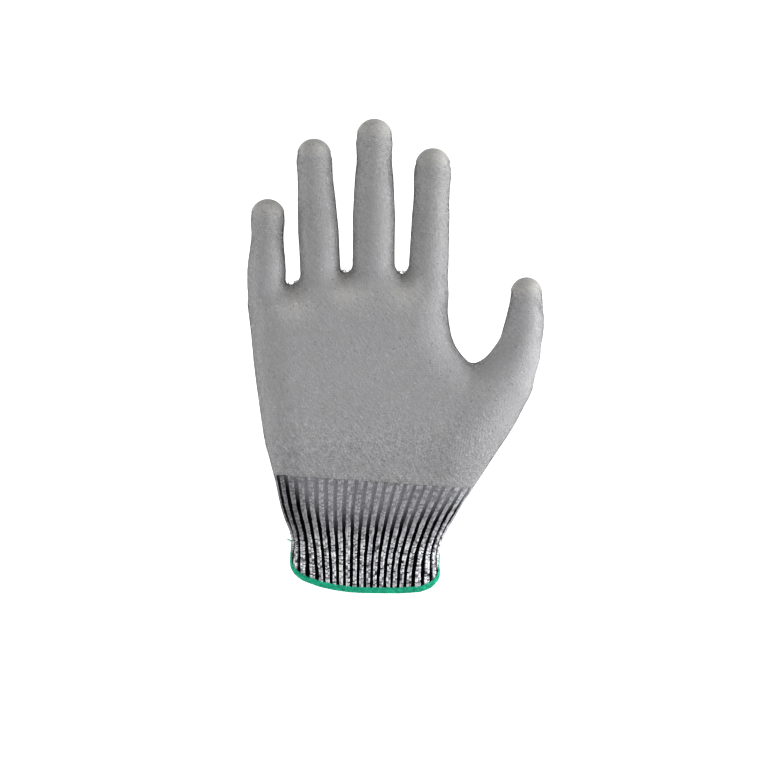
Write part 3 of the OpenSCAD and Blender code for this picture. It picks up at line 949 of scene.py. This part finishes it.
def add_film(name, mask):
    """Film over some faces, its rim turned down on to the liner."""
    used, faces = piece_faces(mask & quad_cover)
    n, rim = vert_normals[used], film_shared[used]
    v = verts[used] + n * LIFT
    v[rim] -= n[rim] * (LIFT * RIM_DROP)
    edges = boundary_edges(faces)
    edges = edges[rim[edges].all(1)]
    foot_ids, inverse = np.unique(edges, return_inverse=True)
    below = len(v) + inverse.reshape(edges.shape)
    skirt = np.column_stack([edges[:, ::-1], below])
    foot = verts[used][foot_ids] - n[foot_ids] * SKIRT
    take = np.concatenate([used, used[foot_ids]])
    return make_object(name, np.vstack([v, foot]), np.vstack([faces, skirt]), FILM,
                       {key: values[take] for key, values in FILM_LOOK.items()}, vert_normals[take])


def add_liner(name, mask):
    used, faces = piece_faces(mask & ~quad_cover)
    return make_object(name, verts[used], faces, LINER,
                       {key: values[used] for key, values in LINER_LOOK.items()}, vert_normals[used])


centre = verts[quads].mean(1)
quad_digit = np.max(digit_id[quads], axis=1)
palm_mask = (quad_digit == 0) & (quad_cover | (centre[:, 2] > RIB_TOP - 2.0))
dress(add_film("palm_film", palm_mask), "pu_coating", ["palm_coating"], ["palm"])
dress(add_liner("palm_knit", palm_mask), "knit_liner", ["palm_liner"], ["palm"])


def add_length(digit, part, mask, parent, hinge, reach):
    """Film and liner of one length of a digit, handed to dress with the parent's body and its own."""
    bodies, ends = [parent, f"{digit}_{part}"], (hinge - reach, hinge + reach)
    dress(add_film(f"{digit}_film_{part}", mask), "pu_coating", [f"{digit}_coating_{part}"], bodies, *ends)
    dress(add_liner(f"{digit}_knit_{part}", mask), "knit_liner", [f"{digit}_liner_{part}"], bodies, *ends)


for i, name in enumerate(FINGERS):
    j, dirs = finger_frame(name)
    half = BLEND_HALF[name]
    here = quad_digit == i + 1
    base = (centre - j[1]) @ dirs[1] < -half[1] - 0.4
    middle = ((centre - j[2]) @ dirs[2] < -half[2] - 0.2) & ~base
    parent = "palm"
    for k, (part, mask) in enumerate({"base": base, "middle": middle, "tip": ~base & ~middle}.items()):
        add_length(name, part, here & mask, parent, j[k], half[k] * dirs[k])
        parent = f"{name}_{part}"

# The thumb's direction at its knuckle
THUMB_LEAN, THUMB_TILT = math.radians(12), math.radians(8)
thumb_dir = unit(np.array([math.sin(THUMB_LEAN), -math.sin(THUMB_TILT), math.cos(THUMB_LEAN)]))
here = quad_digit == 5
base = (centre - knuckle) @ thumb_dir < -THUMB_HALF[1] + 0.3
add_length("thumb", "base", here & base, "palm", thumb_hinge, THUMB_HALF[0] * thumb_up)
add_length("thumb", "tip", here & ~base, "thumb_base", knuckle, THUMB_HALF[1] * thumb_dir)


def build_fork_fuzz():
    """Loose fibre ends where the finger tubes are knitted together."""
    parts = []
    for fx, fz, _ in FORKS[:3]:
        for _ in range(22):
            root = np.array([fx + rng.uniform(-4.5, 4.5), rng.uniform(-3, 2), fz + rng.uniform(-0.5, 0.5)])
            root = to_surface(root[None], 3)[0]
            n = normals_at(root[None])[0]
            length, bend = rng.uniform(0.7, 2.0), rng.normal(0, 0.5, 3)
            t = np.linspace(0, 1, 6)[:, None]
            path = root - 0.2 * n + (n * t + bend * t * t + rng.normal(0, 0.25, 3) * np.sin(3 * t)) * length
            parts.append(tube_mesh(path, 0.15 - 0.08 * t[:, 0], 5))
    return thread_object("fork_fuzz", parts, FUZZ)


dress(build_fork_fuzz(), "knit_liner", ["palm_liner"], ["palm"])

# ---- Ribbed cuff ----

RIBS = 44
AROUND = RIBS * 16      # columns of points round the cuff
HALF = AROUND // 2
ROWS = 140
CUFF_WALE, CUFF_COURSE, LINING_COURSE = 0.275, 0.78, 0.98      # a wale is this share of a rib's pitch
CUFF_THICK = 1.5
NECK_Z = 26.3        # the cuff is narrowest here and flares below
FLARE_REACH = 13.0   # only the fabric this near to a fold flares
LEAN_REACH = 11.0    # the ribs keep their lean for about this far below the neck
SPREAD = 0.35        # share of the rib spacing that follows the width rather than the girth
LEVELS = np.arange(-2.0, RIB_TOP + 3.01, 1.0)


def fold_xs(z):
    """Where the two side folds are at a height."""
    row = np.column_stack([np.linspace(-90, 110, 801), np.zeros(801), np.full(801, z)])
    x = row[body_distance(row) < 0, 0]
    return x[0], x[-1]


def ring_points(z, inset, dense=480):
    """Closed ring of points round the glove at height z, front half first, starting at the left fold."""
    xl, xr = fold_xs(z)
    mid, span = (xl + xr) / 2, (xr - xl) / 2
    a = np.linspace(0, 2 * math.pi, dense, endpoint=False)
    base = np.column_stack([mid - np.cos(a) * (span - 11.5), np.zeros(dense), np.full(dense, z)])
    ray = np.column_stack([-np.cos(a), -np.sin(a), np.zeros(dense)])
    lo, hi = np.zeros(dense), np.full(dense, 40.0)
    for _ in range(28):
        t = (lo + hi) / 2
        out = body_distance(base + ray * t[:, None]) > -inset
        hi, lo = np.where(out, t, hi), np.where(out, lo, t)
    return base + ray * ((lo + hi) / 2)[:, None]


def even_ring(z, inset):
    """Ring of AROUND points at a height: two halves, each spaced by width and girth."""
    points = ring_points(z, inset)
    half = len(points) // 2
    at = np.linspace(0, 1, HALF, endpoint=False)
    out = []
    for side in (points[:half + 1], np.vstack([points[half:], points[:1]])):
        s, across = run_length(side), np.abs(side[:, 0] - side[0, 0])
        t = SPREAD * across / across[-1] + (1 - SPREAD) * s / s[-1]
        out.append(np.column_stack([np.interp(at, t, side[:, k]) for k in range(3)]))
    return np.vstack(out)


def fold_gap(rings):
    """Sideways distance of each point from the nearer fold."""
    x = rings[..., 0]
    return np.minimum(x - x[..., :1], x[..., HALF:HALF + 1] - x)


def flared(ring, lean, z, inset):
    """The neck's ring lowered to z. Its folds move out to the flare; its ribs keep their lean a while."""
    p = ring.copy()
    p[:, 2] = z
    p[:, 0] += lean * LEAN_REACH * math.tanh((NECK_Z - z) / LEAN_REACH) * smoothstep(0.5, 15.0, fold_gap(p))
    for old, new in zip(fold_xs(NECK_Z), fold_xs(z)):
        near = np.clip(np.abs(p[:, 0] - old) / FLARE_REACH, 0, 1)
        p[:, 0] += (new - old) * np.cos(near * math.pi / 2) ** 2
    # back on to the glove's surface, except close to the folds
    r, width = half_depth(p[:, 2]), rounding(p[:, 2])
    q = np.maximum(flat_distance(p[:, 0], p[:, 2]) + width, 0) * r / width
    y = np.sign(p[:, 1]) * np.sqrt(np.maximum((r - inset) ** 2 - q ** 2, 0))
    p[:, 1] += (y - p[:, 1]) * smoothstep(2.0, 6.0, np.abs(p[:, 1]))
    return p


def cuff_rings(inset):
    """Rings at LEVELS. Ribs run smoothly through the neck; only those beside the folds follow its bend."""
    neck = even_ring(NECK_Z, inset)
    lean = (neck - even_ring(NECK_Z + 14, inset))[:, 0] / 14
    rings = np.array([flared(neck, lean, z, inset) if z < NECK_Z else even_ring(z, inset) for z in LEVELS])
    x = rings[:, :, 0]
    x += (relaxed(x, 50) - x) * smoothstep(0.5, 5.0, fold_gap(rings))
    return rings


OUTER, INNER = cuff_rings(0.0), cuff_rings(CUFF_THICK)


def on_cuff(rings, column, z):
    """Points on the cuff for column numbers (floats allowed) at heights z."""
    f = np.clip((z - LEVELS[0]) / (LEVELS[1] - LEVELS[0]), 0, len(LEVELS) - 1.001)
    i = f.astype(int)
    f = (f - i)[:, None]
    left = np.floor(column).astype(int)
    g = (column - left)[:, None]
    a, b = left % AROUND, (left + 1) % AROUND
    low = rings[i, a] * (1 - g) + rings[i, b] * g
    high = rings[i + 1, a] * (1 - g) + rings[i + 1, b] * g
    return low * (1 - f) + high * f


def cuff_normals(p):
    return units(slopes(body_distance, p, 0.2))


# Height of the raw edge against the distance round from each fold
HEM_LEFT = [(0, 26.5), (1.6, 21.5), (3.1, 17.4), (4.6, 14.6), (8.8, 10.8), (14.2, 7.6), (23.3, 4.3),
            (31, 2.6), (39, 1.6), (49, 1.1)]
HEM_RIGHT = [(0, 20.2), (1.3, 15.6), (2.8, 9.8), (6.4, 6.9), (12.0, 3.4), (17.6, 1.6), (28, 0.95), (47, 1.0)]


def hem_table():
    """Height of the raw edge at each column, with the column after the last."""
    ring = OUTER[int(10 - LEVELS[0])]
    s = run_length(np.vstack([ring, ring[:1]]))
    from_left, from_right = np.minimum(s, s[-1] - s)[:-1], np.abs(s - s[HALF])[:-1]
    w = smoothstep(-16, 16, ring[:, 0])
    z = np.interp(from_left, *zip(*HEM_LEFT)) * (1 - w) + np.interp(from_right, *zip(*HEM_RIGHT)) * w
    for _ in range(6):
        z = (np.roll(z, 1) + 2 * z + np.roll(z, -1)) / 4
    return np.append(z, z[0])


HEM_TABLE = hem_table()


def hem_height(column):
    return np.interp(column % AROUND, np.arange(AROUND + 1), HEM_TABLE)


def cuff_sheet(rings, rows, top):
    """Points from the raw edge up to top, row by row, with their columns, heights and normals."""
    column = np.tile(np.arange(float(AROUND)), rows)
    low = hem_height(column)
    z = low + (top - low) * np.repeat(np.linspace(0, 1, rows), AROUND)
    p = on_cuff(rings, column, z)
    return p, column, z, cuff_normals(p)


def rib_place(column, z):
    """Which rib each point is on, counted with a fraction, and its place across the rib, -0.5 to 0.5."""
    rib = column / AROUND * RIBS
    wobble = (0.05 * value_noise(np.column_stack([rib * 3, z / 4, rib * 0]), 1.0, 11)
              + 0.03 * value_noise(np.column_stack([rib * 4, z / 1.1, rib * 0]), 1.0, 12))
    return rib, (rib + wobble) % 1 - 0.5


def build_cuff():
    p, column, z, n = cuff_sheet(OUTER, ROWS, RIB_TOP)
    rib, place = rib_place(column, z)
    phase = np.abs(place)
    xl, xr = np.interp(z, LEVELS, OUTER[:, 0, 0]), np.interp(z, LEVELS, OUTER[:, HALF, 0])
    u = (p[:, 0] - (xl + xr) / 2) / ((xr - xl) / 2)
    # The grooves' black painted shade reaches higher up towards the two folds, and stays mostly on the back
    grey_from = 29.0 + 8 * u ** 2 + 52 * np.clip(-u - 0.54, 0, 1) + 16 * np.clip(u - 0.6, 0, 1)
    front = 1 - 0.85 * smoothstep(3, 8, p[:, 1])
    uneven = 3 * value_noise(np.column_stack([rib, z * 0, rib]), 1.0, 5)
    fade = smoothstep(0, 17, z - grey_from + uneven) * front
    dull = smoothstep(19, 39, z) * front
    width = 0.268 - 0.01 * smoothstep(30, 50, z)
    soft = 0.03 + 0.05 * fade
    body = 1 - smoothstep(width - soft, width + soft, phase)
    valley = 0.5 - 0.5 * np.cos(np.clip(phase / width, 0, 1) * 2 * math.pi)   # 0 between the rib's two wales
    relief = body * (0.34 + 0.26 * valley) - (1 - body) * 0.8
    relief *= 1 - 0.93 * smoothstep(28, 54, z)
    edge_z = hem_height(column)
    relief = np.where(relief > 0, relief * smoothstep(1.8, 4.0, z - edge_z), relief)
    # The ribs flatten and dip just below the liner's surface under the film and the jersey
    above, coated = above_dip(p), p[:, 1] < -3
    flat = np.maximum(smoothstep(-3.0, 0.2, above) * coated, smoothstep(RIB_TOP - 3.5, RIB_TOP - 1, z))
    dip = np.maximum(smoothstep(-0.8, 0.8, above) * coated, smoothstep(RIB_TOP - 2.2, RIB_TOP - 0.6, z))
    relief = relief * (1 - flat) - 0.25 * dip
    return make_object("cuff_ribs", p + n * relief[:, None], grid_faces(ROWS, AROUND), RIB, {
        "wale": place / CUFF_WALE + np.floor(rib) * 4,
        "course": (z - 0.9 * edge_z * smoothstep(40, 5, z)) / CUFF_COURSE,
        "groove": 1 - body, "fade": fade, "seam": np.exp(-(phase / 0.075) ** 2),
        # dull goes past 1 near the left fold: painted shade on the ribs there
        "dull": dull + 0.35 * dull * smoothstep(-0.55, -0.95, u)})


def build_lining():
    rows = 46
    p, column, z, n = cuff_sheet(INNER, rows, RIB_TOP + 1.5)
    rib, place = rib_place(column, z)
    body = 1 - smoothstep(0.26, 0.38, np.abs(place))
    p += n * (0.25 * body)[:, None]
    # the lining takes the rib material's black painted groove shade, held at a fixed fade
    return make_object("cuff_lining", p, grid_faces(rows, AROUND)[:, ::-1], RIB, {
        "wale": place / CUFF_WALE + np.floor(rib) * 4, "course": z / LINING_COURSE, "groove": body * 0.75,
        "fade": np.full(len(z), 0.35), "dull": np.full(len(z), 0.3)})


WRIST_Z, WRIST_HALF = joint_pos("wrist_bend")[2], 11.0
WRIST = (np.array([0, 0, WRIST_Z + WRIST_HALF]), np.array([0, 0, WRIST_Z - WRIST_HALF]))
dress(build_cuff(), "rib_knit", ["cuff_rib_knit", "wrist_rib_knit"], ["palm", "cuff"], *WRIST)
dress(build_lining(), "rib_knit", ["cuff_rib_knit"], ["palm", "cuff"], *WRIST)

# ---- Hem: overlock loops, needle thread, tail ----

BAND = 1.85
# A loop round the raw edge: (up the fabric, outwards), from the outside over the edge to the inside
LOOP = [(BAND, 0.25), (BAND * 0.8, 0.52), (BAND * 0.5, 0.62), (0.6, 0.60), (0.0, 0.42), (-0.38, -0.1),
        (-0.45, -0.75), (-0.32, -1.35), (0.1, -1.85), (0.7, -2.0), (BAND * 0.6, -2.0), (BAND, -1.75)]


def hem_frame(column):
    """Edge point, direction along the hem, outward normal and direction up the fabric."""
    beside = 0.6
    before, p, after = (on_cuff(OUTER, c, hem_height(c)) for c in (column - beside, column, column + beside))
    t = units(after - before)
    n = cuff_normals(p)
    n = units(n - (n * t).sum(1)[:, None] * t)
    up = np.cross(n, t)
    return p, t, n, up * np.sign(up[:, 2])[:, None]


def hem_stations(pitch):
    """Column numbers a given distance apart along the hem."""
    cols = np.linspace(0, AROUND, 1600)
    s = run_length(on_cuff(OUTER, cols, hem_height(cols)))
    count = int(s[-1] / pitch)
    return np.interp(np.arange(count) * s[-1] / count, s, cols)


def build_band():
    """Overlock loops, the sheet that shows between them, and chain threads along the band's edges."""
    parts = []
    columns = hem_stations(0.78)
    jitter = rng.normal(0, 1, (len(columns), 3))
    for p, t, n, up, (grow, slant, bulge) in zip(*hem_frame(columns), jitter):
        rise = 1 + 0.05 * grow
        lean = 0.55 + 0.12 * slant
        path = [p + up * (a * rise if a > 1 else a) + n * (b + 0.03 * bulge)
                + t * lean * (a / BAND - 0.5) * (1 if b > -0.8 else -1) for a, b in LOOP]
        parts.append(tube_mesh(path, 0.33, 6, up=t))
    columns = hem_stations(0.9)
    p, _, n, up = hem_frame(columns)
    rows = [p + up * a + n * (b - 0.22 * np.sign(b + 0.75)) for a, b in LOOP]
    parts.append((np.vstack(rows), grid_faces(len(LOOP), len(columns))))
    columns = hem_stations(0.45)
    p, _, n, up = hem_frame(np.append(columns, columns[0] + AROUND))
    wave = np.sin(np.arange(len(p)) * 2.1)[:, None]
    for height, out, r in ((-0.28, 0.25, 0.33), (BAND, 0.34, 0.27), (BAND * 0.97, -1.7, 0.27)):
        parts.append(tube_mesh(p + up * (height + 0.14 * wave) + n * (out + 0.08 * wave), r, 6))
    return thread_object("hem_overlock_loops", parts, GREEN)


def build_needle():
    """Short straight stitches above the band."""
    parts = []
    columns = hem_stations(2.6)
    arch = np.sin(np.linspace(0, math.pi, 7))[:, None]
    for here, after in zip(columns, np.append(columns[1:], columns[0] + AROUND)):
        p, _, n, up = hem_frame(here + (after - here) * np.linspace(0, 0.72, 7))
        parts.append(tube_mesh(p + up * (BAND + 0.42) + n * (0.25 + 0.34 * arch), 0.2, 6))
    return thread_object("hem_needle_stitches", parts, GREEN)


def build_tail():
    """The frayed end of the overlock chain at the left fold."""
    p, _, n, up = hem_frame(np.array([0.2]))
    root = p[0] + up[0] * BAND * 0.9 + n[0] * 0.3
    reach = np.array([-3.6, -0.5, 0.5])
    s = np.linspace(0, 1, 22)
    path = root + reach * s[:, None]
    path[:, 2] += 0.55 * np.sin(s * math.pi)
    path[:, 1] += 0.25 * np.sin(s * 9)
    parts = [tube_mesh(path, 0.30 * (1 - 0.55 * s), 6)]
    for k in range(3):      # loose strands
        aside = reach + np.array([0.2 * k - 0.5, 0.7 - 0.7 * k, 0.9 - 0.9 * k])
        path = root + aside * s[:, None] * (0.75 + 0.12 * k)
        path[:, 2] += (0.8 - 0.5 * k) * s * s
        parts.append(tube_mesh(path, 0.12, 5))
    return thread_object("hem_thread_end", parts, GREEN)


def build_elastic():
    """Elastic yarn inside the cuff, each turn drawn up at the folds as the hem is."""
    parts = []
    columns = np.linspace(0, AROUND, 240)
    rise = hem_height(columns) - hem_height(columns).min()
    wave = 0.25 + 0.12 * np.sin(columns / AROUND * RIBS * 2 * math.pi)
    for share in np.linspace(0, 1, 8):
        p = on_cuff(INNER, columns, 6.6 + 25 * share + rise * (1 - 0.9 * share))
        parts.append(tube_mesh(p - cuff_normals(p) * wave[:, None], 0.22, 6))
    return thread_object("elastic_turns", parts, ELASTIC)


dress(build_band(), "hem_thread", ["hem_overlock_band"], ["cuff"])
dress(build_needle(), "hem_thread", ["hem_needle_thread"], ["cuff"])
dress(build_tail(), "hem_thread", ["hem_thread_tail"], ["cuff"])
dress(build_elastic(), "elastic_yarn", ["cuff_elastic_yarn"], ["palm", "cuff"], *WRIST)

# ---- Stage, light and camera, in metres ----

FLOOR_Z = -0.045


def stage_material():
    """White sweep that glows a little, so that it stays white behind a dimly lit glove."""
    n = Nodes("pale_stage")
    n.put(n.bsdf, {"Base Color": (0.55, 0.55, 0.55, 1), "Roughness": 0.95, "Specular IOR Level": 0.0,
                   "Emission Color": (1, 1, 1, 1), "Emission Strength": 0.82})
    return n.mat


def build_stage():
    """Floor that sweeps up into a backdrop behind the glove."""
    depth, turn, height, width = 1.6, 0.8, 3.2, 4.0
    profile = [(-3.0, FLOOR_Z), (depth - turn, FLOOR_Z)]
    profile += [(depth - turn + turn * math.sin(a), FLOOR_Z + turn * (1 - math.cos(a)))
                for a in np.linspace(0, math.pi / 2, 16)[1:]]
    profile.append((depth, height))
    v = [(x, y, z) for y, z in profile for x in (-width, width)]
    f = [[2 * i, 2 * i + 1, 2 * i + 3, 2 * i + 2] for i in range(len(profile) - 1)]
    return make_object("stage_floor", np.array(v) * MM, f, stage_material())


def light_world():
    """White world where the camera sees it, dimmer as a light."""
    seen_as_light, extra_to_camera = 0.38, 0.62
    world = bpy.data.worlds.new("studio")
    world.use_nodes = True
    nodes, link = world.node_tree.nodes, world.node_tree.links.new
    background = nodes["Background"]
    background.inputs["Color"].default_value = (1, 1, 1, 1)
    strength = nodes.new("ShaderNodeMath")
    strength.operation = "MULTIPLY_ADD"
    strength.inputs[1].default_value = extra_to_camera
    strength.inputs[2].default_value = seen_as_light
    link(nodes.new("ShaderNodeLightPath").outputs["Is Camera Ray"], strength.inputs[0])
    link(strength.outputs[0], background.inputs["Strength"])
    return world


def area_light(name, place, size, power, shadow=True):
    """Square light that points at the middle of the glove."""
    data = bpy.data.lights.new(name, "AREA")
    data.use_shadow = shadow
    data.shape, data.size, data.energy = "SQUARE", size, power
    lamp = bpy.data.objects.new(name, data)
    scene.collection.objects.link(lamp)
    lamp.location = place
    lamp.rotation_euler = (AIM - Vector(place)).to_track_quat("-Z", "Y").to_euler()


build_stage()
scene = bpy.context.scene
scene.view_settings.view_transform = "Standard"
scene.world = light_world()
AIM = Vector((0.01, 0, 0.12))
area_light("key_right", (1.05, -0.43, 0.42), 0.5, 15.5)
area_light("rim_left", (-1.2, 0.0, 0.35), 1.0, 4)
area_light("fill_left", (-1.2, -0.2, 0.35), 1.0, 11, shadow=False)
area_light("rim_right", (1.2, -0.04, 0.3), 0.5, 15)
area_light("key_above", (0.2, -0.33, 1.35), 0.6, 4.5)

VIEW_WIDTH = 0.3952          # width of the view at the glove
VIEW_X, VIEW_Z = 0.0078, 0.1102
camera_data = bpy.data.cameras.new("camera")
camera_data.lens, camera_data.sensor_width = 120, 36
camera = bpy.data.objects.new("camera", camera_data)
scene.collection.objects.link(camera)
camera.location = (VIEW_X, -VIEW_WIDTH * camera_data.lens / camera_data.sensor_width, VIEW_Z)
camera.rotation_euler = (math.radians(90), 0, 0)
scene.camera = camera
